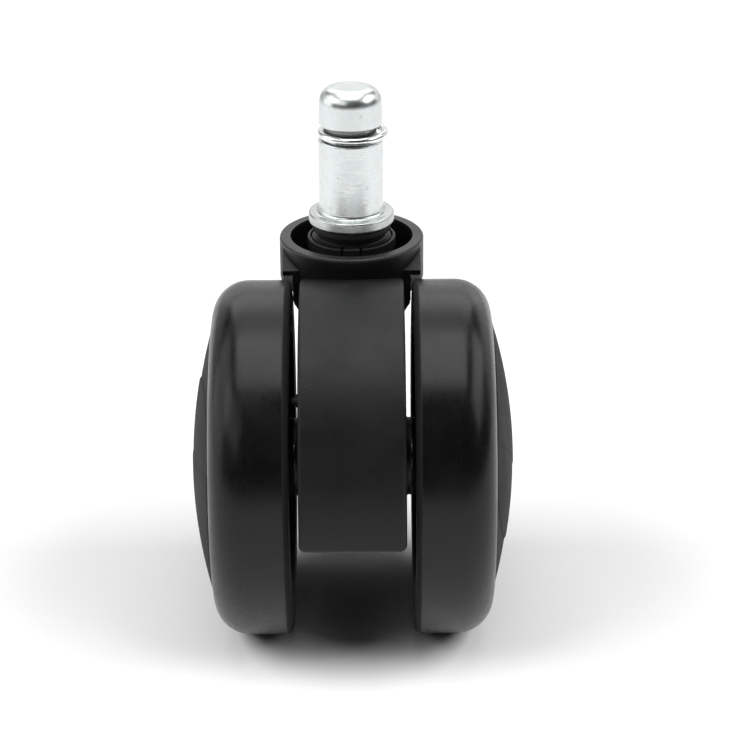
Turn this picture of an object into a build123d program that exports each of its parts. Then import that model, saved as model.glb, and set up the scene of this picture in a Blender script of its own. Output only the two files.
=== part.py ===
"""Twin-wheel chair caster with a plain grip-ring stem.

Units are millimetres. The origin is on the swivel axis, at the seat face on top
of the stem flange. +Z points up the stem. The wheel axle runs along X and sits
at negative Y, so the hood band faces -Y.
"""
from build123d import *
import math
import os

os.makedirs("parts", exist_ok=True)

# ------------------------------------------------------------------ sizes
# overall
WHEEL_D = 60.0            # outside diameter of the tread
TRAIL = 20.0              # swivel axis to axle axis, along Y
SEAT_OVER_TREAD = 7.1     # stem seat above the top of the tread
WHEEL_GAP = 20.5          # between the inner faces of the two treads
TREAD_W = 13.1            # width of one tread
# stem
STEM_D = 11.0
STEM_L = 22.0             # above the seat
FLANGE_D = 14.6
FLANGE_T = 2.0
JOURNAL_D = 10.0          # below the flange
JOURNAL_L = 22.5          # below the flange, to the dome's foot
GROOVE_Z = (13.0, 15.6)   # grip ring groove
TIP_ROUND = 2.6           # rounding of the stem's top edge
# housing
SIDE_GAP = 1.55           # hood band and column to the tread's inner face
HOOD_PROUD = 0.15         # hood face above the tread's face
HOOD_T = 2.4
HOOD_END_DEG = -5.6       # front edge of the hood, below the axle's level
CUP_D = 24.7
CUP_WALL = 1.85
CUP_TOP = -4.5
BOSS_D = 13.4
AXLE_D = 6.0

# clearances
RUN = 0.05                # radial running clearance
FACE = 0.25               # between faces that turn past each other
SEATED = 0.02             # between faces of fitted pieces
WHEEL_CLEAR = 0.7         # housing to tread, round the wheel

# ---------------------------------------------------------- derived sizes
WHEEL_R = WHEEL_D / 2
AXLE_DROP = WHEEL_R + SEAT_OVER_TREAD
BODY_W = WHEEL_GAP - 2 * SIDE_GAP
HOOD_R = WHEEL_R + HOOD_PROUD
TREAD_IN = WHEEL_GAP / 2
TREAD_OUT = TREAD_IN + TREAD_W
SHOULDER_R = 6.0
BOND_R = WHEEL_R - SHOULDER_R
STEM_R = STEM_D / 2
JOURNAL_R = JOURNAL_D / 2
CUP_R = CUP_D / 2
BODY_HALF = BODY_W / 2
BOSS_R = BOSS_D / 2
AXLE_R = AXLE_D / 2
AXLE = Pos(0, -TRAIL, -AXLE_DROP)
JOURNAL_END = -FLANGE_T - JOURNAL_L
HUB_IN = TREAD_IN - 0.25
SPACER_T = 0.6
SPACER_IN = HUB_IN - 0.15 - SPACER_T


def turned(points, rounds=()):
    """A closed (radius, z) outline turned about Z, with (index, radius) corners."""
    corners = [Vector(r, 0, z) for r, z in points]
    outline = Polyline(*corners, close=True)
    face = make_face(outline)
    for index, radius in rounds:
        near = face.vertices().sort_by_distance(corners[index])[0]
        face = fillet(near, radius)
        if isinstance(face, ShapeList):
            face = face[0]
    return revolve(face, axis=Axis.Z)


def tube(r_in, r_out, z_low, z_high):
    """A plain ring standing between two heights."""
    height = z_high - z_low
    solid = Pos(0, 0, z_low) * Cylinder(r_out, height, align=BASE)
    if r_in > 0:
        solid -= Pos(0, 0, z_low - 1) * Cylinder(r_in, height + 2, align=BASE)
    return solid


def on_axle(shape, side):
    """Lay a shape turned about Z along the axle: side 1 is +X, side -1 is -X."""
    return AXLE * Rot(0, 90 * side, 0) * shape


def save(node, shape):
    """Write one node, checking that it is one solid."""
    solids = shape.solids()
    if len(solids) != 1:
        raise ValueError(f"{node} has {len(solids)} solids")
    export_step(solids[0], f"parts/{node}.step")


BASE = (Align.CENTER, Align.CENTER, Align.MIN)

# ------------------------------------------------------------------- stem
GROOVE_R = STEM_R - 1.1
NECK_R = STEM_R - 0.05
CLIP_GROOVE_R = JOURNAL_R - 0.5
CLIP_GROOVE_T = 1.4
CLIP_Z = JOURNAL_END + 3.2
DOME_H = 0.8
stem = turned(
    [
        (0, JOURNAL_END - DOME_H),
        (JOURNAL_R - 2.5, JOURNAL_END - DOME_H),
        (JOURNAL_R, JOURNAL_END),
        (JOURNAL_R, CLIP_Z - CLIP_GROOVE_T / 2),
        (CLIP_GROOVE_R, CLIP_Z - CLIP_GROOVE_T / 2),
        (CLIP_GROOVE_R, CLIP_Z + CLIP_GROOVE_T / 2),
        (JOURNAL_R, CLIP_Z + CLIP_GROOVE_T / 2),
        (JOURNAL_R, -FLANGE_T),
        (FLANGE_D / 2, -FLANGE_T),
        (FLANGE_D / 2, 0),
        (STEM_R, 0),
        (STEM_R, GROOVE_Z[0]),
        (GROOVE_R, GROOVE_Z[0]),
        (GROOVE_R, GROOVE_Z[1]),
        (NECK_R, GROOVE_Z[1]),
        (NECK_R - 0.25, STEM_L),
        (0, STEM_L),
    ],
    [(8, 0.5), (9, 0.4), (10, 0.8), (11, 0.3), (14, 0.35), (15, TIP_ROUND)],
)
save("stem", stem)

# The split ring is drawn at its fitted size, squeezed to just over the stem.
RING_WIRE = 1.3
RING_OUT_R = STEM_R + 0.2
RING_IN_R = RING_OUT_R - RING_WIRE + 0.15
RING_Z = GROOVE_Z[0] + 0.35 + RING_WIRE / 2
RING_SLIT = 1.6
grip_ring = turned(
    [
        (RING_IN_R, RING_Z - RING_WIRE / 2),
        (RING_OUT_R, RING_Z - RING_WIRE / 2),
        (RING_OUT_R, RING_Z + RING_WIRE / 2),
        (RING_IN_R, RING_Z + RING_WIRE / 2),
    ],
    [(1, 0.5), (2, 0.5)],
)
grip_ring -= Pos(0, RING_OUT_R, RING_Z) * Box(RING_SLIT, 2 * RING_WIRE + 1, 2 * RING_WIRE)
save("grip_ring", grip_ring)

# ------------------------------------------------ pieces round the journal
WASHER_T = 1.2
WASHER_TOP = -FLANGE_T - RUN
WASHER_Z = WASHER_TOP - WASHER_T
stem_washer = tube(JOURNAL_R + 0.3, FLANGE_D / 2 - 0.6, WASHER_Z, WASHER_TOP)
stem_washer = fillet(stem_washer.edges().filter_by(GeomType.CIRCLE).group_by(SortBy.RADIUS)[-1], 0.25)
save("stem_washer", stem_washer)

# The collar is pushed into the socket: a neck under the washer, a lip with a ring
# groove in its top, two snap tabs cut free by slots, and a sleeve below.
SLEEVE_R = JOURNAL_R + 1.5
COLLAR_R = SLEEVE_R + 1.05
COLLAR_NECK_R = SLEEVE_R - 0.6
RING_GROOVE_W = 0.35
RING_GROOVE_R = COLLAR_R - 0.45
RING_GROOVE_H = 0.7
COLLAR_LIP_T = 1.6
COLLAR_TOP = CUP_TOP
COLLAR_SEAT = COLLAR_TOP - COLLAR_LIP_T
SLEEVE_END = COLLAR_SEAT - 7.0
SLOT_W = 0.4
TAB_HALF_DEG = 12.5
collar = turned(
    [
        (JOURNAL_R + RUN, SLEEVE_END),
        (SLEEVE_R, SLEEVE_END),
        (SLEEVE_R, COLLAR_SEAT),
        (COLLAR_R, COLLAR_SEAT),
        (COLLAR_R, COLLAR_TOP),
        (COLLAR_NECK_R, COLLAR_TOP),
        (COLLAR_NECK_R, WASHER_Z),
        (JOURNAL_R + RUN, WASHER_Z),
    ],
    [(1, 0.4), (4, 0.2), (5, 0.2), (6, 0.2)],
)
ring_groove = tube(RING_GROOVE_R - RING_GROOVE_W, RING_GROOVE_R, COLLAR_TOP - RING_GROOVE_H, COLLAR_TOP + 1)
ring_groove -= Box(2 * COLLAR_R * math.sin(math.radians(TAB_HALF_DEG)), 3 * COLLAR_R, 4 * CUP_D)
collar -= ring_groove
for tab in (90, 270):
    for turn in (tab - TAB_HALF_DEG, tab + TAB_HALF_DEG):
        slot = Pos(COLLAR_NECK_R + 0.2 + COLLAR_R / 2, 0, COLLAR_TOP) * Box(COLLAR_R, SLOT_W, 2.4)
        collar -= Rot(0, 0, turn) * slot
save("socket_collar", collar)

CLIP_WIRE = 1.2
CLIP_IN_R = CLIP_GROOVE_R + 0.05
stem_clip = turned(
    [
        (CLIP_IN_R, CLIP_Z - CLIP_WIRE / 2),
        (CLIP_IN_R + CLIP_WIRE, CLIP_Z - CLIP_WIRE / 2),
        (CLIP_IN_R + CLIP_WIRE, CLIP_Z + CLIP_WIRE / 2),
        (CLIP_IN_R, CLIP_Z + CLIP_WIRE / 2),
    ],
    [(0, 0.4), (1, 0.4), (2, 0.4), (3, 0.4)],
)
stem_clip -= Pos(0, CLIP_IN_R + CLIP_WIRE / 2, CLIP_Z) * Box(4.0, 3 * CLIP_WIRE, 2 * CLIP_WIRE)
save("stem_clip", stem_clip)

# ---------------------------------------------------------------- housing
# The lower chamber lets the clip spring out under the socket's ledge.
CHAMBER_R = CLIP_IN_R + CLIP_WIRE + 0.5
CHAMBER_TOP = CLIP_Z + CLIP_WIRE / 2 + 0.4
PLUG_T = 2.6
DISC_T = 1.5
DISC_TOP = JOURNAL_END - DOME_H - RUN
DISC_Z = DISC_TOP - DISC_T
PLUG_Z = DISC_Z - PLUG_T
COLUMN_END = PLUG_Z
MOAT_Z = -12.4
SOCKET_R = COLLAR_R - 0.1
RING_FOOT_Z = -11.7
SHOULDER_IN = 0.3
SHOULDER_Z = -13.4
TAPER_Z = -19.0
WEB_HALF = 1.6
RIB_HALF = BODY_HALF - 0.8

column = turned(
    [
        (0, COLUMN_END),
        (BODY_HALF, COLUMN_END),
        (BODY_HALF, TAPER_Z),
        (CUP_R - SHOULDER_IN, SHOULDER_Z),
        (CUP_R - SHOULDER_IN, RING_FOOT_Z),
        (CUP_R, RING_FOOT_Z),
        (CUP_R, CUP_TOP),
        (0, CUP_TOP),
    ],
    [(6, 0.4)],
)


def side_plate(points, half_width):
    """A plate across the body from a closed (y, z) outline measured from the axle."""
    face = make_face(Polyline(*[Vector(0, y, z) for y, z in points], close=True))
    plate = extrude(face, amount=half_width, dir=(1, 0, 0), both=True)
    return AXLE * plate


def polar(radius, degrees):
    """A (y, z) point from the axle: 0 degrees is to the front, 90 is up."""
    angle = math.radians(degrees)
    return (-radius * math.cos(angle), radius * math.sin(angle))


HOOD_TOP_DEG = 124.0
HOOD_CORNER = 1.2


def sector(r_in, r_out, start, end, half_width):
    """A true curved band about the axle between two angles."""
    mid = (start + end) / 2
    outer = [Vector(0, *polar(r_out, angle)) for angle in (start, mid, end)]
    inner = [Vector(0, *polar(r_in, angle)) for angle in (start, mid, end)]
    edges = [
        ThreePointArc(*outer),
        Line(outer[2], inner[2]),
        ThreePointArc(*reversed(inner)),
        Line(inner[0], outer[0]),
    ]
    face = make_face(Wire(edges))
    return AXLE * extrude(face, amount=half_width, dir=(1, 0, 0), both=True)


hood = sector(HOOD_R - HOOD_T, HOOD_R, HOOD_END_DEG, HOOD_TOP_DEG, BODY_HALF)
foot_edges = hood.edges().filter_by(GeomType.LINE).filter_by(Axis.X, reverse=True)
foot_edges = foot_edges.sort_by(Axis.Z)[:2]
hood = fillet(foot_edges, HOOD_CORNER)
long_edges = hood.edges().filter_by(GeomType.CIRCLE).group_by(SortBy.RADIUS)[-1]
hood = fillet(long_edges, 0.6)
web = sector(BOSS_R - 0.8, HOOD_R - HOOD_T + 0.4, HOOD_END_DEG + 1.0, HOOD_TOP_DEG, WEB_HALF)
NECK_Y = TRAIL - BODY_HALF + 1.0
FOOT_Z = AXLE_DROP + COLUMN_END + 0.5
foot_web = side_plate([(0, 0), (NECK_Y, FOOT_Z), (NECK_Y, 20), (0, 20)], WEB_HALF)
ribs = []
RIB_ANGLES = (18, 41, 64)
for angle in RIB_ANGLES:
    start = polar(BOSS_R - 0.6, angle)
    end = polar(HOOD_R - HOOD_T + 0.4, angle)
    across = polar(0.7, angle + 90)
    corners = [
        (start[0] - across[0], start[1] - across[1]),
        (end[0] - across[0], end[1] - across[1]),
        (end[0] + across[0], end[1] + across[1]),
        (start[0] + across[0], start[1] + across[1]),
    ]
    ribs.append(side_plate(corners, RIB_HALF))
boss = on_axle(tube(0, BOSS_R, -SPACER_IN, SPACER_IN), 1)

# flat-faced shoulders beside the hood: sloped underneath and rising back to the cup
BLOCK_HALF = TREAD_IN + 1.45
BLOCK_TOP = -7.75
BLOCK_FRONT = -8.7
BLOCK_BACK_TOP = -5.1
BLOCK_BACK = -3.4
BLOCK_SLOPE_TOP = -12.7
BLOCK_SLOPE_END = -15.45
block_outline = [
    (-BLOCK_HALF, BLOCK_BACK_TOP),
    (-BLOCK_HALF, BLOCK_SLOPE_TOP),
    (-TREAD_IN, BLOCK_SLOPE_TOP),
    (-BODY_HALF, BLOCK_SLOPE_END),
    (BODY_HALF, BLOCK_SLOPE_END),
    (TREAD_IN, BLOCK_SLOPE_TOP),
    (BLOCK_HALF, BLOCK_SLOPE_TOP),
    (BLOCK_HALF, BLOCK_BACK_TOP),
]
block_face = make_face(Polyline(*[Vector(x, BLOCK_FRONT, z) for x, z in block_outline], close=True))
block = extrude(block_face, amount=-BLOCK_FRONT, dir=(0, 1, 0))
slope_face = make_face(
    Polyline(
        (0, BLOCK_FRONT, BLOCK_TOP),
        (0, BLOCK_FRONT, COLUMN_END),
        (0, 1, COLUMN_END),
        (0, 1, BLOCK_BACK_TOP),
        (0, BLOCK_BACK, BLOCK_BACK_TOP),
        close=True,
    )
)
block &= extrude(slope_face, amount=BLOCK_HALF + 1, dir=(1, 0, 0), both=True)

# a small rubbing nib on the hood's left side
NIB_R = 1.2
NIB_H = 1.15
NIB_DEG = 43.6
nib_y, nib_z = polar(HOOD_R - NIB_R - 0.2, NIB_DEG)
nib = AXLE * Pos(-BODY_HALF + 0.1, nib_y, nib_z) * Rot(0, -90, 0) * Cone(NIB_R, 0.25, NIB_H, align=BASE)

housing = column + hood + web + foot_web + boss + block + nib
for rib in ribs:
    housing += rib
# wheels' room, on both sides
WHEEL_ROOM = TREAD_IN - FACE
for side in (1, -1):
    room = tube(0, WHEEL_R + WHEEL_CLEAR, WHEEL_ROOM, WHEEL_ROOM + 20)
    housing -= on_axle(room, side)
# cup moat, socket, clip chamber and axle hole
housing -= tube(SOCKET_R, CUP_R - CUP_WALL, MOAT_Z, CUP_TOP + 5)
housing -= tube(0, SOCKET_R + 0.05, COLLAR_SEAT, CUP_TOP + 5)
housing -= tube(0, SLEEVE_R, SLEEVE_END - 0.3, CUP_TOP)
housing -= tube(0, JOURNAL_R + RUN, CHAMBER_TOP - 1, CUP_TOP)
housing -= tube(0, CHAMBER_R, COLUMN_END - 1, CHAMBER_TOP)
housing -= on_axle(tube(0, AXLE_R, -BODY_W, BODY_W), 1)
save("housing", housing)

save("wear_disc", tube(0, CHAMBER_R, DISC_Z, DISC_TOP))
plug = tube(0, CHAMBER_R, PLUG_Z, DISC_Z)
save("socket_plug", plug)

# ------------------------------------------------------------ axle, wheels
HUB_OUT = TREAD_OUT - 2.6
BUSH_R = 4.3
HUB_R = 6.6
LOCK_T = 0.9
AXLE_END = HUB_OUT + FACE + LOCK_T + 0.9

axle = on_axle(tube(0, AXLE_R, -AXLE_END, AXLE_END), 1)
axle = chamfer(axle.edges().filter_by(GeomType.CIRCLE), 0.5)
save("axle", axle)

CAP_R = BOND_R - 0.6
CAP_RIM = TREAD_OUT - 0.1     # edge of the dome
CAP_CROWN = TREAD_OUT + 3.3   # middle of the dome
CAP_RIM_T = 0.9
CAP_SEAT = CAP_RIM - CAP_RIM_T
CAP_SAG = CAP_CROWN - CAP_RIM
DOME_R = (CAP_R ** 2 + CAP_SAG ** 2) / (2 * CAP_SAG)
CAP_T = 1.8
SKIRT_R = BOND_R - 2.4
RIM_IN_R = SKIRT_R + SEATED
# A straight ridge parts the cap's face: a high half on one side of it, a blade on the other.
RIDGE_OFF = 1.7               # ridge's distance from the axle's middle line
HIGH_LIFT = 0.4               # high half over the dome, at the middle
HIGH_RIM_LIFT = 0.25          # and at its edge
HIGH_R = CAP_R - 0.4
HIGH_SAG = CAP_SAG + HIGH_LIFT - HIGH_RIM_LIFT
HIGH_DOME_R = (HIGH_R ** 2 + HIGH_SAG ** 2) / (2 * HIGH_SAG)
BLADE_R = 14.3
BLADE_LIFT = 0.12
BLADE_DOME_R = 112.0


def domed_layer(r_out, crown, depth, radius):
    """A disc of a spherical dome, turned about Z, as thick as depth under its face."""

    def face_arc(drop):
        centre = crown - drop - radius
        return [Vector(r, 0, centre + math.sqrt(radius ** 2 - r ** 2)) for r in (0, r_out / 2, r_out)]

    top = face_arc(0)
    foot = face_arc(depth)
    edges = [
        ThreePointArc(*top),
        Line(top[2], foot[2]),
        ThreePointArc(*reversed(foot)),
        Line(foot[0], top[0]),
    ]
    return revolve(make_face(Wire(edges)), axis=Axis.Z)


def beside_ridge(turn, side):
    """Everything on one side of the ridge, over the cap."""
    half = Box(4 * CAP_R, 2 * CAP_R, 4 * CAP_CROWN)
    return Rot(0, 0, turn) * Pos(0, RIDGE_OFF + side * CAP_R, 0) * half


def hub_cap(phase):
    """The domed cap: a shell, a high half, a raised blade and a snap skirt."""
    cap = domed_layer(CAP_R, CAP_CROWN, CAP_T, DOME_R)
    cap += tube(SKIRT_R - 1.6, SKIRT_R, CAP_SEAT - 3.0, CAP_SEAT + CAP_RIM_T / 2)
    cap -= tube(SKIRT_R, CAP_R + 2, CAP_SEAT - 4.0, CAP_SEAT)
    high = domed_layer(HIGH_R, CAP_CROWN + HIGH_LIFT, CAP_RIM_T, HIGH_DOME_R)
    blade = domed_layer(BLADE_R, CAP_CROWN + BLADE_LIFT, CAP_T / 2, BLADE_DOME_R)
    cap += high & beside_ridge(phase, -1)
    cap += blade & beside_ridge(phase, 1)
    return cap


LEFT_PHASE = -77.0
RIGHT_PHASE = -125.0


def build_wheel(side, name, phase):
    """One wheel: spacer, bush, core, tread, lock washer and hub cap."""
    spacer = tube(AXLE_R + 0.3, BOSS_R - 0.1, SPACER_IN, SPACER_IN + SPACER_T)
    save(f"{name}_spacer", on_axle(spacer, side))

    bush = tube(AXLE_R + RUN, BUSH_R, HUB_IN, HUB_OUT)
    save(f"{name}_bush", on_axle(bush, side))

    web_in = TREAD_IN + 2.4
    core = tube(BUSH_R, HUB_R, HUB_IN, HUB_OUT)
    core += tube(HUB_R - 0.5, BOND_R - 1, web_in, web_in + 2.0)
    core += tube(RIM_IN_R, BOND_R, TREAD_IN + 0.05, CAP_SEAT - SEATED)
    core += tube(13.2, 14.6, TREAD_IN + 1.2, web_in + 0.5)
    for index in range(6):
        rib = Pos((HUB_R + RIM_IN_R) / 2, 0, web_in + 3.0) * Box(RIM_IN_R - HUB_R + 0.8, 1.4, 3.0)
        core += Rot(0, 0, index * 60) * rib
    save(f"{name}_core", on_axle(core, side))

    tread = turned(
        [
            (BOND_R, TREAD_IN),
            (WHEEL_R, TREAD_IN),
            (WHEEL_R, TREAD_OUT),
            (BOND_R, TREAD_OUT),
        ],
        [(1, 1.0), (2, SHOULDER_R - 0.02)],
    )
    save(f"{name}_tread", on_axle(tread, side))

    lock = tube(AXLE_R, BOSS_R - 0.6, HUB_OUT + FACE, HUB_OUT + FACE + LOCK_T)
    save(f"{name}_lock_washer", on_axle(lock, side))

    save(f"{name}_hub_cap", on_axle(hub_cap(phase), side))


build_wheel(-1, "left", LEFT_PHASE)
build_wheel(1, "right", RIGHT_PHASE)
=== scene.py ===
"""Looks of a twin-wheel chair caster, laid out as a Blender add-on and run as a script.

Metres throughout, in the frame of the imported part: the origin is on the swivel
axis at the stem's seat, +Z runs up the stem and the wheel axle lies along X.
"""
import math

import bpy
from bpy.props import FloatProperty, FloatVectorProperty, IntProperty, PointerProperty
from mathutils import Matrix, Vector


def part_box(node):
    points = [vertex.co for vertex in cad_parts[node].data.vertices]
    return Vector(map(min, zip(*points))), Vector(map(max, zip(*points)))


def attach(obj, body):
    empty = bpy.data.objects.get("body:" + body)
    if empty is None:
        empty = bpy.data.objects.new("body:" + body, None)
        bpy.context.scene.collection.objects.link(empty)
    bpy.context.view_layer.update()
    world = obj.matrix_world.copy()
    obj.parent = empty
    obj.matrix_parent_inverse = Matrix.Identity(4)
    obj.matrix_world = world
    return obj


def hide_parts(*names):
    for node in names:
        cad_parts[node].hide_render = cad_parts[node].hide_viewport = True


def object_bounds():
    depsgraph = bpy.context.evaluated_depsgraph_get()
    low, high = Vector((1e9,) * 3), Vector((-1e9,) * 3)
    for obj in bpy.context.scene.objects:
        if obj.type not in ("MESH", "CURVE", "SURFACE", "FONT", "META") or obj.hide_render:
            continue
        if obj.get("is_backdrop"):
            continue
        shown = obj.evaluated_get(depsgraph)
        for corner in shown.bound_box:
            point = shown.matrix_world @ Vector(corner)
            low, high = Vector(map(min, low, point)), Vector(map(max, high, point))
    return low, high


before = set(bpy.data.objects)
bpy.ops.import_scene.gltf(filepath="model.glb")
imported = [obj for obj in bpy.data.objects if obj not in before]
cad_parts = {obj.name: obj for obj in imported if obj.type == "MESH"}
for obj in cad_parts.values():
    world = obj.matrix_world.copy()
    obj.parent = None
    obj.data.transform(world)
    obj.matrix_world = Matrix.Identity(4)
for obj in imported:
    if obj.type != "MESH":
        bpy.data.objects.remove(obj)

bl_info = {
    "name": "Twin-Wheel Caster Looks",
    "version": (1, 0, 0),
    "blender": (4, 5, 0),
    "location": "3D View > Sidebar > Caster",
    "description": "Finishes, turned pieces and studio for a twin-wheel chair caster",
    "category": "Object",
}

SIDES = (("left", -1), ("right", 1))
PLASTIC_IOR = 1.34
CAP_IOR = 1.2
LIT_POINT = Vector((0, -0.02, -0.03))
CAMERA_AIM = Vector((0.00384, -0.012, -0.02564))


# ---------------------------------------------------------------- frame sizes
def span(node):
    """Lowest corner, highest corner and middle of a frame node."""
    low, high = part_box(node)
    return low, high, (low + high) / 2


# ------------------------------------------------------------- mesh workshop
def new_piece(name, points, faces, sharp=math.radians(40)):
    """A smooth-shaded mesh object whose hard corners stay crisp."""
    mesh = bpy.data.meshes.new(name)
    mesh.from_pydata(points, [], faces)
    mesh.validate()
    for face in mesh.polygons:
        face.use_smooth = True
    mesh.set_sharp_from_angle(angle=sharp)
    piece = bpy.data.objects.new(name, mesh)
    bpy.context.scene.collection.objects.link(piece)
    return piece


def ramp(distance, width):
    """0 outside an edge, 1 inside it, with a rounded slope this wide."""
    level = min(1.0, max(0.0, distance / width))
    return level * level * (3 - 2 * level)


def dome_drop(radius, reach):
    """How far a sphere of this radius has fallen away at a distance from its top."""
    return radius - math.sqrt(radius * radius - reach * reach)


def spread(stops):
    """Numbers from one stop to the next, in the given count of steps."""
    numbers = [stops[0][0]]
    for (start, _), (end, count) in zip(stops, stops[1:]):
        numbers += [start + (end - start) * (step + 1) / count for step in range(count)]
    return numbers


# ------------------------------------------------------------------ finishes
class Finish:
    """A material and short ways to wire its nodes."""

    def __init__(self, name):
        self.material = bpy.data.materials.get(name) or bpy.data.materials.new(name)
        self.material.use_nodes = True
        self.tree = self.material.node_tree
        self.tree.nodes.clear()
        self.shader = self.add("ShaderNodeBsdfPrincipled")
        output = self.add("ShaderNodeOutputMaterial")
        self.link(self.shader.outputs["BSDF"], output.inputs["Surface"])
        self.where = self.add("ShaderNodeTexCoord").outputs["Object"]

    def add(self, kind, **settings):
        node = self.tree.nodes.new(kind)
        for key, value in settings.items():
            setattr(node, key, value)
        return node

    def link(self, source, target):
        self.tree.links.new(source, target)

    def set(self, **values):
        for key, value in values.items():
            self.shader.inputs[key.replace("_", " ").title().replace("Ior", "IOR")].default_value = value

    def stretched(self, scale):
        mapping = self.add("ShaderNodeMapping")
        mapping.inputs["Scale"].default_value = scale
        self.link(self.where, mapping.inputs["Vector"])
        return mapping.outputs["Vector"]

    def noise(self, scale, detail=3.0, roughness=0.5, vector=None, distortion=0.0):
        node = self.add("ShaderNodeTexNoise")
        node.inputs["Scale"].default_value = scale
        node.inputs["Detail"].default_value = detail
        node.inputs["Roughness"].default_value = roughness
        node.inputs["Distortion"].default_value = distortion
        self.link(vector or self.where, node.inputs["Vector"])
        return node.outputs["Fac"]

    def band(self, value, low, high, to_low=0.0, to_high=1.0, smooth=True):
        node = self.add("ShaderNodeMapRange")
        node.interpolation_type = "SMOOTHSTEP" if smooth else "LINEAR"
        node.inputs["From Min"].default_value = low
        node.inputs["From Max"].default_value = high
        node.inputs["To Min"].default_value = to_low
        node.inputs["To Max"].default_value = to_high
        self.link(value, node.inputs["Value"])
        return node.outputs["Result"]

    def math(self, operation, first, second):
        node = self.add("ShaderNodeMath", operation=operation)
        for socket, value in zip(node.inputs, (first, second)):
            if isinstance(value, (int, float)):
                socket.default_value = value
            else:
                self.link(value, socket)
        return node.outputs[0]

    def axis(self, letter):
        node = self.add("ShaderNodeSeparateXYZ")
        self.link(self.where, node.inputs["Vector"])
        return node.outputs[letter]

    def blend(self, amount, first, second):
        node = self.add("ShaderNodeMix", data_type="RGBA")
        self.link(amount, node.inputs["Factor"])
        for socket, value in (("A", first), ("B", second)):
            target = [s for s in node.inputs if s.name == socket and s.type == "RGBA"][0]
            if isinstance(value, (tuple, list)):
                target.default_value = (*value[:3], 1.0)
            else:
                self.link(value, target)
        return [s for s in node.outputs if s.type == "RGBA"][0]

    def colour(self, source):
        self.link(source, self.shader.inputs["Base Color"])

    def rough(self, source):
        self.link(source, self.shader.inputs["Roughness"])

    def bump(self, height, distance, strength=1.0):
        node = self.add("ShaderNodeBump")
        node.inputs["Strength"].default_value = strength
        node.inputs["Distance"].default_value = distance
        self.link(height, node.inputs["Height"])
        if self.shader.inputs["Normal"].is_linked:
            earlier = self.shader.inputs["Normal"].links[0].from_socket
            self.link(earlier, node.inputs["Normal"])
        self.link(node.outputs["Normal"], self.shader.inputs["Normal"])


def shade(rgb, factor):
    """A colour made lighter or darker."""
    return tuple(min(1.0, channel * factor) for channel in rgb[:3])


def wear(piece, finish):
    """Give a piece one finish all over."""
    piece.data.materials.clear()
    piece.data.materials.append(finish)
    for face in piece.data.polygons:
        face.material_index = 0


def moulded_nylon(name, colour, roughness, grain, grain_depth, ior=PLASTIC_IOR, highlight_from=None):
    """Spark-textured nylon: fine grain, a faint cloudy sheen, and, if a height is given, a painted highlight
    over it: paler colour and lower roughness.
    """
    f = Finish(name)
    f.set(ior=ior)
    clouds = f.noise(160, 4)
    fine = f.noise(grain, 2, 0.6)
    plain = f.blend(f.band(clouds, 0.3, 0.7), shade(colour, 0.85), shade(colour, 1.2))
    cloudy = f.band(clouds, 0.35, 0.65, roughness - 0.04, roughness + 0.05)
    sheen = f.math("ADD", cloudy, f.band(fine, 0.3, 0.7, -0.03, 0.03))
    if highlight_from is not None:
        # Painted highlight: over this height the colour is painted four times paler, and the roughness is
        # lowered too.
        highlighted = f.band(f.axis("Z"), highlight_from - 0.0003, highlight_from)
        plain = f.blend(highlighted, plain, shade(colour, 4.0))
        sheen = f.math("SUBTRACT", sheen, f.math("MULTIPLY", highlighted, 0.15))
    f.colour(plain)
    f.rough(sheen)
    f.bump(fine, grain_depth)
    return f.material


def tyre_skin(name, colour, roughness, inner_face):
    """Smooth polyurethane: slight waviness, hazy handling marks, and a dull moulded inner edge."""
    f = Finish(name)
    f.set(ior=PLASTIC_IOR)
    haze = f.noise(110, 4, 0.6)
    scuff = f.noise(900, 3, 0.65, f.stretched((1.0, 0.35, 0.35)))
    tone = f.band(haze, 0.35, 0.7)
    f.colour(f.blend(tone, shade(colour, 0.9), shade(colour, 1.25)))
    hazy = f.band(haze, 0.3, 0.7, roughness - 0.03, roughness + 0.04)
    sheen = f.math("ADD", hazy, f.band(scuff, 0.45, 0.75, 0, 0.05))
    outward = f.math("ABSOLUTE", f.axis("X"), 0.0)
    f.rough(f.math("ADD", sheen, f.band(outward, inner_face + 0.0011, inner_face + 0.0006, 0.0, 0.6)))
    f.bump(f.noise(420, 2), 0.00001)
    f.bump(f.noise(5200, 2), 0.0000025)
    return f.material


def cap_gloss(name, colour, roughness):
    """Low-lustre moulded nylon for the hub caps."""
    f = Finish(name)
    f.set(ior=CAP_IOR, specular_ior_level=0.5)
    haze = f.noise(140, 4)
    f.colour(f.blend(f.band(haze, 0.3, 0.7), shade(colour, 0.9), shade(colour, 1.2)))
    f.rough(f.band(haze, 0.3, 0.7, roughness - 0.04, roughness + 0.05))
    f.bump(f.noise(2600, 2), 0.000003)
    return f.material


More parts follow.
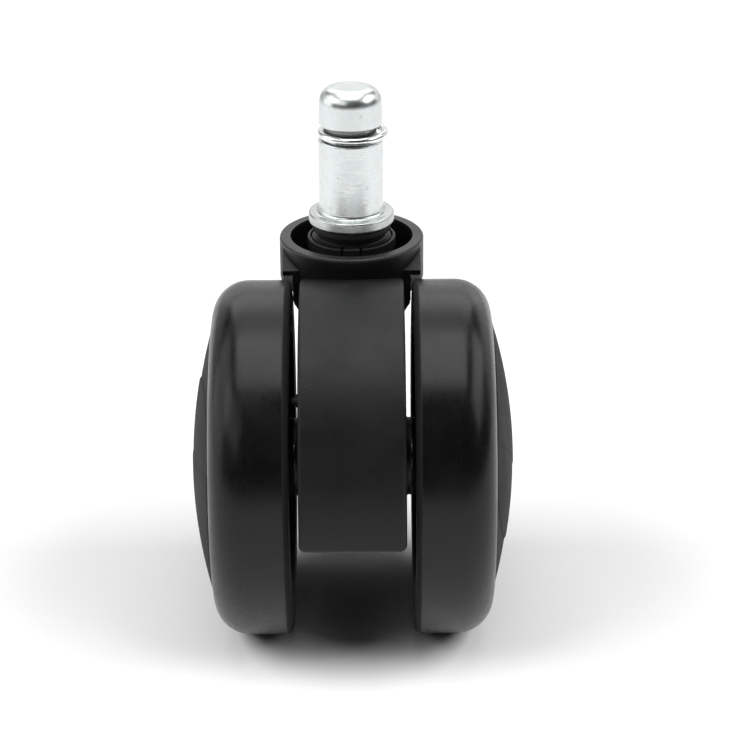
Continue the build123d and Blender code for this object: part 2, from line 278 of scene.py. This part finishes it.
def plated_steel(name, colour, groove_low, groove_high, groove_painted_shade, tip_rough, sleeve_rough):
    """Zinc plate: polished above the ring groove, finely turned below it, with painted shade in the groove
    and from the flange down.
    """
    f = Finish(name)
    f.set(metallic=1.0)
    height = f.axis("Z")
    tip = f.band(height, groove_high - 0.0002, groove_high + 0.0002)
    clouds = f.noise(420, 4, 0.6)
    lines = f.noise(260, 3, 0.6, f.stretched((1, 1, 40)))
    frost = f.noise(5200, 2, 0.5)
    specks = f.band(f.noise(1300, 2, 0.5), 0.69, 0.74)
    stain_zone = f.math("MULTIPLY", f.band(height, 0.0042, 0.0018), f.band(height, 0.0002, 0.001))
    stain = f.math("MULTIPLY", stain_zone, f.band(f.noise(800, 4, 0.7), 0.5, 0.72))
    bluish = (colour[0], colour[1] * 1.02, colour[2] * 1.03)
    plain = f.blend(f.band(clouds, 0.3, 0.7), shade(colour, 0.93), bluish)
    stained = f.blend(f.math("MULTIPLY", stain, 0.5), plain, (0.42, 0.34, 0.24))
    marks_and_shade = f.blend(f.math("MULTIPLY", specks, 0.45), stained, shade(colour, 0.45))
    # Painted shade: the plate's colour is darkened from the flange downward.
    flange_painted_shade = f.band(height, 0.0006, -0.0002, 0.0, 0.5)
    marks_and_shade = f.blend(flange_painted_shade, marks_and_shade, shade(colour, 0.5))
    # Painted shade: the plate's colour is darkened inside the ring groove.
    over_foot = f.band(height, groove_low, groove_low + 0.0002)
    painted_groove_shade = f.math("MULTIPLY", over_foot, f.band(height, groove_high, groove_high - 0.0002))
    f.colour(f.blend(painted_groove_shade, marks_and_shade, shade(colour, groove_painted_shade)))
    ringed = f.band(lines, 0.3, 0.7, sleeve_rough - 0.05, sleeve_rough + 0.05)
    turned = f.math("ADD", ringed, f.band(clouds, 0.3, 0.7, -0.04, 0.05))
    polish = f.band(clouds, 0.3, 0.7, tip_rough - 0.02, tip_rough + 0.03)
    down = f.math("MULTIPLY", turned, f.math("SUBTRACT", 1.0, tip))
    f.rough(f.math("ADD", down, f.math("MULTIPLY", polish, tip)))
    sleeve_only = f.math("SUBTRACT", 1.0, tip)
    f.bump(f.math("MULTIPLY", lines, sleeve_only), 0.0000018)
    f.bump(f.math("MULTIPLY", frost, sleeve_only), 0.0000025)
    f.bump(f.math("MULTIPLY", specks, -1.0), 0.00002)
    return f.material


def drawn_steel(name, colour, roughness):
    """Plain bright steel with fine lines."""
    f = Finish(name)
    f.set(metallic=1.0)
    lines = f.noise(700, 3, 0.6, f.stretched((6, 1, 1)))
    f.colour(f.blend(f.band(lines, 0.3, 0.7), shade(colour, 0.9), shade(colour, 1.08)))
    f.rough(f.band(lines, 0.3, 0.7, roughness - 0.06, roughness + 0.08))
    f.bump(lines, 0.000003)
    return f.material


# -------------------------------------------------------------------- lights
def hang_softbox(lit, name, glow, around, up, away, width, height):
    """A flat soft light that lights only what is in lit, hung in a direction from the caster, in degrees."""
    around, up = math.radians(around), math.radians(up)
    toward = Vector((math.sin(around) * math.cos(up), -math.cos(around) * math.cos(up), math.sin(up)))
    light = bpy.data.lights.new(name, "AREA")
    light.shape = "RECTANGLE"
    light.size = width
    light.size_y = height
    light.energy = glow * math.pi * width * height
    box = bpy.data.objects.new(name, light)
    bpy.context.scene.collection.objects.link(box)
    box.location = LIT_POINT + toward * away
    box.rotation_mode = "QUATERNION"
    box.rotation_quaternion = toward.to_track_quat("Z", "Y")
    box.light_linking.receiver_collection = lit


def light_caster(s, lit):
    """Softboxes over, behind and beside the caster. They leave the floor dark."""
    hang_softbox(lit, "overhead_box", s.overhead, 0, 90, 0.9, 0.70, 0.68)
    hang_softbox(lit, "back_top", s.back_top, 180, 62, 1.4, 1.3, 0.55)
    hang_softbox(lit, "back_high", s.back_high, 180, 38, 1.4, 1.3, 0.6)
    hang_softbox(lit, "back_low", s.back_low, 180, 12, 1.6, 1.5, 0.65)
    hang_softbox(lit, "back_left_low", s.back_left_low, 225, 12, 1.5, 1.2, 0.62)
    hang_softbox(lit, "back_right_low", s.back_right_low, 135, 12, 1.5, 1.2, 0.62)
    hang_softbox(lit, "left_low", s.left_low, 265, 12, 1.4, 1.1, 0.6)
    hang_softbox(lit, "left_high", s.left_high, 265, 40, 1.4, 1.3, 0.7)
    hang_softbox(lit, "left_front_high", s.left_front_high, 310, 40, 1.4, 1.3, 0.7)
    hang_softbox(lit, "right_high", s.right_high, 95, 40, 1.4, 1.3, 0.7)


def light_floor(s, lit):
    """Washes that reach only the floor, from over it, in front of it and both sides."""
    hang_softbox(lit, "floor_top", s.floor_top, 0, 90, 0.9, 0.70, 0.68)
    hang_softbox(lit, "floor_wash", s.floor_front, 0, 68, 1.2, 0.9, 0.4)
    hang_softbox(lit, "floor_wash_left", s.floor_left, 290, 45, 3.0, 2.6, 1.6)
    hang_softbox(lit, "floor_wash_right", s.floor_right, 70, 45, 3.0, 2.6, 1.6)


def gather(name, objects):
    """A collection of these objects, to aim lights at."""
    group = bpy.data.collections.new(name)
    for thing in objects:
        group.objects.link(thing)
    return group


# ----------------------------------------------------------------- settings
def length(name, text, default):
    return FloatProperty(name=name, description=text, default=default, unit="LENGTH", precision=5)


def tint(name, text, default):
    return FloatVectorProperty(name=name, description=text, default=default, subtype="COLOR", min=0, max=1)


def share(name, text, default):
    return FloatProperty(name=name, description=text, default=default, min=0, max=1, subtype="FACTOR")


def angle(name, text, degrees):
    return FloatProperty(name=name, description=text, default=math.radians(degrees), subtype="ANGLE")


def brightness(name, text, default):
    return FloatProperty(name=name, description=text, default=default, min=0)


class StemSettings(bpy.types.PropertyGroup):
    """Plated steel and the split ring."""

    steel: tint("Plate", "Colour of the zinc plate", (0.69, 0.72, 0.71))
    tip_rough: share("Tip roughness", "Roughness of the polished tip", 0.3)
    sleeve_rough: share("Sleeve roughness", "Roughness of the turned sleeve", 0.3)
    groove_spare: length("Groove below the ring", "Groove's foot under the ring", 0.0003)
    groove_above: length("Groove above the ring", "Groove's top over the ring", 0.0009)
    # Painted shade: the ring groove's colour keeps this share of the plate's brightness.
    groove_painted_shade: share("Groove tone", "How much of the plate's brightness is left in the groove", 0.3)
    ring_free: length("Ring diameter", "Outside of the split ring before it is pushed home", 0.012)
    ring_shift: length("Ring shift", "How far the loose ring sits to one side", 0.0004)
    ring_gap: length("Ring gap", "Opening between the split ring's ends", 0.0012)
    ring_steps: IntProperty(name="Ring steps", description="Steps along the split ring", default=160, min=24)
    wire_steps: IntProperty(name="Wire steps", description="Steps round its wire", default=20, min=8)


class BodySettings(bpy.types.PropertyGroup):
    """Moulded body and the small mouldings in its cup."""

    nylon: tint("Nylon", "Colour of the body", (0.0062, 0.0063, 0.0068))
    nylon_rough: share("Body roughness", "Roughness of the moulded face", 0.47)
    # Painted highlight: how far down the cup's rim the paler colour is painted.
    rim_highlight: length("Highlighted rim", "How far down the cup's rim is rubbed pale", 0.0004)
    collar: tint("Collar", "Colour of the slotted collar", (0.016, 0.016, 0.017))
    collar_rough: share("Collar roughness", "Roughness of the slotted collar", 0.45)
    washer_rough: share("Washer roughness", "Roughness of the washer under the flange", 0.4)


class WheelSettings(bpy.types.PropertyGroup):
    """Tyres, hubs and caps."""

    rubber: tint("Tyre", "Colour of the tread", (0.0046, 0.0046, 0.0052))
    rubber_rough: share("Tyre roughness", "Roughness of the tread", 0.27)
    core_rough: share("Core roughness", "Roughness of the wheel's core", 0.85)
    cap: tint("Cap", "Colour of the hub caps", (0.017, 0.017, 0.0177))
    cap_rough: share("Cap roughness", "Roughness of the hub caps", 0.65)
    cap_rise: length("Cap rise", "Middle of the cap over its edge", 0.0034)
    cap_skirt: length("Cap edge", "Thickness of the cap at its edge", 0.0009)
    ridge_offset: length("Ridge offset", "Ridge across the cap, off the middle", 0.0017)
    high_lift: length("High half", "High half over the dome, at the middle", 0.0004)
    high_rim_lift: length("High half's edge", "High half over the dome, at its edge", 0.0003)
    high_inset: length("High half's inset", "High half's edge in from the cap's edge", 0.0004)
    ridge_step: length("Ridge step", "Blade under the high half", 0.0001)
    blade_round: length("Blade radius", "Radius of the blade's round end", 0.0154)
    blade_shift: length("Blade shift", "Middle of the blade's round end, along the ridge", 0.0086)
    step_width: length("Step width", "Width of the rounded steps in the cap's face", 0.0003)
    edge_bevel: length("Edge bevel", "Rounding of the cap's edge", 0.0003)
    left_turn: angle("Left cap turn", "Left blade about the axle", -77)
    right_turn: angle("Right cap turn", "Right blade about the axle", -125)
    cap_steps: IntProperty(name="Cap steps", description="Steps round each cap", default=600, min=60)


class FastenerSettings(bpy.types.PropertyGroup):
    """Axle, rings, discs, bushes and spacers."""

    steel: tint("Steel", "Colour of the drawn steel", (0.55, 0.55, 0.56))
    steel_rough: share("Steel roughness", "Roughness of the drawn steel", 0.3)
    bush: tint("Bush", "Colour of the bushes and spacers", (0.012, 0.012, 0.012))
    bush_rough: share("Bush roughness", "Roughness of the bushes and spacers", 0.4)


class StageSettings(bpy.types.PropertyGroup):
    """Camera, floor and the air round them."""

    lens: FloatProperty(name="Lens", description="Focal length", default=126.4, subtype="DISTANCE_CAMERA")
    distance: length("Distance", "Camera to the point it aims at", 0.450)
    tilt: angle("Height angle", "Camera above the horizon", 23.9)
    swing: angle("Swing", "Camera round the stem", -0.2)
    roll: angle("Roll", "Camera about its own line of sight", -0.35)
    fill: brightness("Fill", "Brightness of the dim room", 0.03)
    backdrop: brightness("Backdrop", "Brightness of the backdrop behind the object", 1.0)
    floor_reach: length("Floor reach", "Floor's edge from its middle", 1.1)
    paper: tint("Paper", "Colour of the floor paper", (0.965, 0.965, 0.97))
    paper_rough: share("Paper roughness", "Roughness of the floor paper", 0.7)


class LightSettings(bpy.types.PropertyGroup):
    """How bright each softbox looks. The ten that light the caster were fitted to the photo by a solver."""

    overhead: brightness("Overhead", "Softbox over the caster", 3.5)
    back_top: brightness("Back top", "Softbox high behind the caster", 1.0)
    back_high: brightness("Back high", "Softbox halfway up behind the caster", 1.9)
    back_low: brightness("Back low", "Softbox low behind the caster", 0.9)
    back_left_low: brightness("Back left low", "Softbox low at the back left", 0.5)
    back_right_low: brightness("Back right low", "Softbox low at the back right", 0.93)
    left_low: brightness("Left low", "Softbox low on the left", 1.5)
    left_high: brightness("Left high", "Softbox high on the left", 1.6)
    left_front_high: brightness("Left front high", "Softbox high at the front left", 1.24)
    right_high: brightness("Right high", "Softbox high on the right", 2.8)
    floor_top: brightness("Floor top", "Wash from over the floor", 1.2)
    floor_front: brightness("Floor front", "Wash from steeply in front", 2.6)
    floor_left: brightness("Floor left", "Wash from the left", 5.6)
    floor_right: brightness("Floor right", "Wash from the right", 5.7)


# ---------------------------------------------------------------- operators
class MakeStem(bpy.types.Operator):
    """Plate the stem"""

    bl_idname = "caster.make_stem"
    bl_label = "Stem"

    def execute(self, context):
        s = context.scene.caster_stem
        low, high, _ = span("grip_ring")
        groove = (low.z - s.groove_spare, high.z + s.groove_above)
        steel = plated_steel("zinc_plate", s.steel, *groove, s.groove_painted_shade, s.tip_rough, s.sleeve_rough)
        wear(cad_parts["stem"], steel)
        return {"FINISHED"}


class MakeGripRing(bpy.types.Operator):
    """Bend the split ring at its free size"""

    bl_idname = "caster.make_grip_ring"
    bl_label = "Grip ring"

    def execute(self, context):
        s = context.scene.caster_stem
        low, high, middle = span("grip_ring")
        wire = (high.z - low.z) / 2
        bend = s.ring_free / 2 - wire
        gap = s.ring_gap / bend
        around, across = s.ring_steps, s.wire_steps
        points = []
        for step in range(around + 1):
            turn = math.pi / 2 + gap / 2 + (2 * math.pi - gap) * step / around
            for part in range(across):
                curl = 2 * math.pi * part / across
                radius = bend + wire * math.cos(curl) * 0.95
                up = wire * math.sin(curl)
                aside = radius * math.cos(turn) + s.ring_shift
                points.append((aside, radius * math.sin(turn), middle.z + up))
        faces = []
        for step in range(around):
            for part in range(across):
                here = step * across + part
                beside = step * across + (part + 1) % across
                faces.append((here, here + across, beside + across, beside))
        faces.append(tuple(range(across)))
        faces.append(tuple(around * across + part for part in reversed(range(across))))
        ring = new_piece("grip_ring_free", points, faces)
        wear(ring, drawn_steel("spring_plate", shade(s.steel, 1.1), 0.2))
        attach(ring, "ring_body")
        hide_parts("grip_ring")
        return {"FINISHED"}


class MakeBody(bpy.types.Operator):
    """Finish the moulded body, its collar, washer and plug"""

    bl_idname = "caster.make_body"
    bl_label = "Body"

    def execute(self, context):
        s = context.scene.caster_body
        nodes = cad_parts
        # Painted highlight on the cup's rim, from this height up.
        cup_rim = span("housing")[1].z - s.rim_highlight
        nylon = moulded_nylon("body_nylon", s.nylon, s.nylon_rough, 3600, 0.00003, highlight_from=cup_rim)
        dark = moulded_nylon("washer_nylon", shade(s.collar, 0.9), s.washer_rough, 2400, 0.00001)
        grey = moulded_nylon("collar_nylon", s.collar, s.collar_rough, 2600, 0.00001)
        for node in ("housing", "socket_plug"):
            wear(nodes[node], nylon)
        wear(nodes["stem_washer"], dark)
        wear(nodes["socket_collar"], grey)
        return {"FINISHED"}


class MakeCaps(bpy.types.Operator):
    """Mould the domed hub caps: a ridge, a high half and a raised blade"""

    bl_idname = "caster.make_caps"
    bl_label = "Hub caps"

    def relief(self, s, reach, turn):
        """How far the cap's face stands over the plain dome."""
        along, across = reach * math.cos(turn), reach * math.sin(turn)
        inside_arc = s.blade_round - math.hypot(along - s.blade_shift, across)
        off_ridge = across - s.ridge_offset
        over_dome = s.high_lift + dome_drop(self.dome, reach) - dome_drop(self.high_dome, reach)
        over_dome *= ramp(self.radius - s.high_inset - reach, s.step_width)
        blade = max(0.0, over_dome - s.ridge_step) * ramp(inside_arc, s.step_width)
        past_ridge = ramp(off_ridge + s.step_width / 2, s.step_width)
        return over_dome * (1 - past_ridge) + blade * past_ridge

    def execute(self, context):
        s = context.scene.caster_wheel
        gloss = cap_gloss("cap_nylon", s.cap, s.cap_rough)
        count = s.cap_steps
        for side, sign in SIDES:
            low, high, middle = span(side + "_hub_cap")
            self.radius = radius = (high.y - low.y) / 2
            crown = max(abs(low.x), abs(high.x)) - s.high_lift
            high_radius = radius - s.high_inset
            high_sag = s.cap_rise + s.high_lift - s.high_rim_lift
            self.dome = (radius ** 2 + s.cap_rise ** 2) / (2 * s.cap_rise)
            self.high_dome = (high_radius ** 2 + high_sag ** 2) / (2 * high_sag)
            phase = s.left_turn if sign < 0 else s.right_turn
            bevel = s.edge_bevel
            rings = spread([
                (s.step_width, 0),
                (high_radius - 2 * s.step_width, 110),
                (high_radius, 10),
                (radius - bevel, 2),
                (radius, 5),
            ])
            points = [(sign * (crown + self.relief(s, 0.0, 0.0)), middle.y, middle.z)]
            profile = []
            for reach in rings:
                for step in range(count):
                    turn = 2 * math.pi * step / count
                    rise = self.relief(s, reach, turn)
                    edge = max(0.0, reach - (radius - bevel))
                    rise -= bevel - math.sqrt(max(0.0, bevel ** 2 - edge ** 2))
                    profile.append((crown - dome_drop(self.dome, reach) + rise, reach, turn + phase))
            foot = crown - s.cap_rise - s.cap_skirt
            for reach in (radius, radius - 2 * s.cap_skirt):
                profile += [(foot, reach, 2 * math.pi * step / count + phase) for step in range(count)]
            for along, reach, turn in profile:
                up = -sign * reach * math.cos(turn)
                points.append((sign * along, middle.y + reach * math.sin(turn), middle.z + up))
            # Known defect: this order of corners leaves the cap inside out.
            faces = [(0, 1 + (step + 1) % count, 1 + step) for step in range(count)]
            for ring in range(len(rings) + 1):
                for step in range(count):
                    here = 1 + ring * count
                    beside = (step + 1) % count
                    faces.append((here + step, here + beside, here + count + beside, here + count + step))
            last = 1 + (len(rings) + 1) * count
            faces.append(tuple(last + step for step in range(count)))
            cap = new_piece(side + "_cap_ridged", points, faces)
            wear(cap, gloss)
            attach(cap, side + "_wheel")
            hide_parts(side + "_hub_cap")
        return {"FINISHED"}


class MakeWheels(bpy.types.Operator):
    """Finish the tyres and cores"""

    bl_idname = "caster.make_wheels"
    bl_label = "Wheels"

    def execute(self, context):
        s = context.scene.caster_wheel
        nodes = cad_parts
        skin = tyre_skin("tyre_skin", s.rubber, s.rubber_rough, span("right_tread")[0].x)
        core = moulded_nylon("core_nylon", shade(s.rubber, 0.9), s.core_rough, 2600, 0.00001, CAP_IOR)
        for side, _ in SIDES:
            wear(nodes[side + "_tread"], skin)
            wear(nodes[side + "_core"], core)
        return {"FINISHED"}


class MakeFasteners(bpy.types.Operator):
    """Finish the axle, clips, discs, bushes and washers"""

    bl_idname = "caster.make_fasteners"
    bl_label = "Axle and fasteners"

    def execute(self, context):
        s = context.scene.caster_fasteners
        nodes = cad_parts
        steel = drawn_steel("axle_steel", s.steel, s.steel_rough)
        bush = moulded_nylon("acetal", s.bush, s.bush_rough, grain=1800, grain_depth=0.000005)
        for node in ("axle", "wear_disc", "stem_clip", "left_lock_washer", "right_lock_washer"):
            wear(nodes[node], steel)
        for node in ("left_bush", "right_bush", "left_spacer", "right_spacer"):
            wear(nodes[node], bush)
        return {"FINISHED"}


class MakeStage(bpy.types.Operator):
    """Lay the floor, hang the lights and set the camera"""

    bl_idname = "caster.make_stage"
    bl_label = "Stage"

    def execute(self, context):
        s = context.scene.caster_stage
        low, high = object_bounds()
        middle = (low + high) / 2
        corners = ((-1, -1), (1, -1), (1, 1), (-1, 1))
        edge = [(middle.x + x * s.floor_reach, middle.y + y * s.floor_reach, low.z) for x, y in corners]
        floor = new_piece("floor", edge, [(0, 1, 2, 3)])
        paper = Finish("floor_paper")
        paper.set(roughness=s.paper_rough)
        paper.shader.inputs["Base Color"].default_value = (*s.paper, 1)
        wear(floor, paper.material)
        floor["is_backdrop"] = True

        caster = [thing for thing in context.scene.objects if thing.type == "MESH" and thing is not floor]
        light_caster(context.scene.caster_lights, gather("lit_caster", caster))
        light_floor(context.scene.caster_lights, gather("lit_floor", [floor]))

        world = bpy.data.worlds.new("studio_air")
        world.use_nodes = True
        tree = world.node_tree
        air = tree.nodes["Background"]
        air.inputs["Color"].default_value = (1, 1, 1, 1)
        seen = tree.nodes.new("ShaderNodeLightPath").outputs["Is Camera Ray"]
        level = tree.nodes.new("ShaderNodeMapRange")
        level.inputs["To Min"].default_value = s.fill
        level.inputs["To Max"].default_value = s.backdrop
        tree.links.new(seen, level.inputs["Value"])
        tree.links.new(level.outputs["Result"], air.inputs["Strength"])
        context.scene.world = world
        context.scene.view_settings.view_transform = "Standard"

        lens = bpy.data.cameras.new("camera")
        lens.lens = s.lens
        lens.clip_start = 0.01
        camera = bpy.data.objects.new("camera", lens)
        context.scene.collection.objects.link(camera)
        back = Vector((
            math.sin(s.swing) * math.cos(s.tilt),
            -math.cos(s.swing) * math.cos(s.tilt),
            math.sin(s.tilt),
        ))
        camera.location = CAMERA_AIM + back * s.distance
        camera.rotation_mode = "QUATERNION"
        upright = (-back).to_track_quat("-Z", "Y")
        camera.rotation_quaternion = upright @ Matrix.Rotation(s.roll, 3, "Z").to_quaternion()
        context.scene.camera = camera
        return {"FINISHED"}


class CASTER_PT_sidebar(bpy.types.Panel):
    """Buttons for each group of pieces"""

    bl_idname = "CASTER_PT_sidebar"
    bl_label = "Caster"
    bl_space_type = "VIEW_3D"
    bl_region_type = "UI"
    bl_category = "Caster"

    def draw(self, context):
        layout = self.layout
        for operator in STEPS:
            layout.operator(operator.bl_idname)
        for key in SETTINGS:
            group = getattr(context.scene, key)
            box = layout.box()
            for name in group.__annotations__:
                box.prop(group, name)


STEPS = (MakeStem, MakeGripRing, MakeBody, MakeCaps, MakeWheels, MakeFasteners, MakeStage)
SETTINGS = {
    "caster_stem": StemSettings,
    "caster_body": BodySettings,
    "caster_wheel": WheelSettings,
    "caster_fasteners": FastenerSettings,
    "caster_stage": StageSettings,
    "caster_lights": LightSettings,
}


def register():
    for group in SETTINGS.values():
        bpy.utils.register_class(group)
    for key, group in SETTINGS.items():
        setattr(bpy.types.Scene, key, PointerProperty(type=group))
    for operator in STEPS:
        bpy.utils.register_class(operator)
    bpy.utils.register_class(CASTER_PT_sidebar)


def unregister():
    bpy.utils.unregister_class(CASTER_PT_sidebar)
    for operator in reversed(STEPS):
        bpy.utils.unregister_class(operator)
    for key, group in SETTINGS.items():
        delattr(bpy.types.Scene, key)
        bpy.utils.unregister_class(group)


def main():
    """Build the looks in order."""
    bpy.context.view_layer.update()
    register()
    bpy.ops.caster.make_stem()
    bpy.ops.caster.make_grip_ring()
    bpy.ops.caster.make_body()
    bpy.ops.caster.make_caps()
    bpy.ops.caster.make_wheels()
    bpy.ops.caster.make_fasteners()
    bpy.ops.caster.make_stage()


if __name__ == "__main__":
    main()
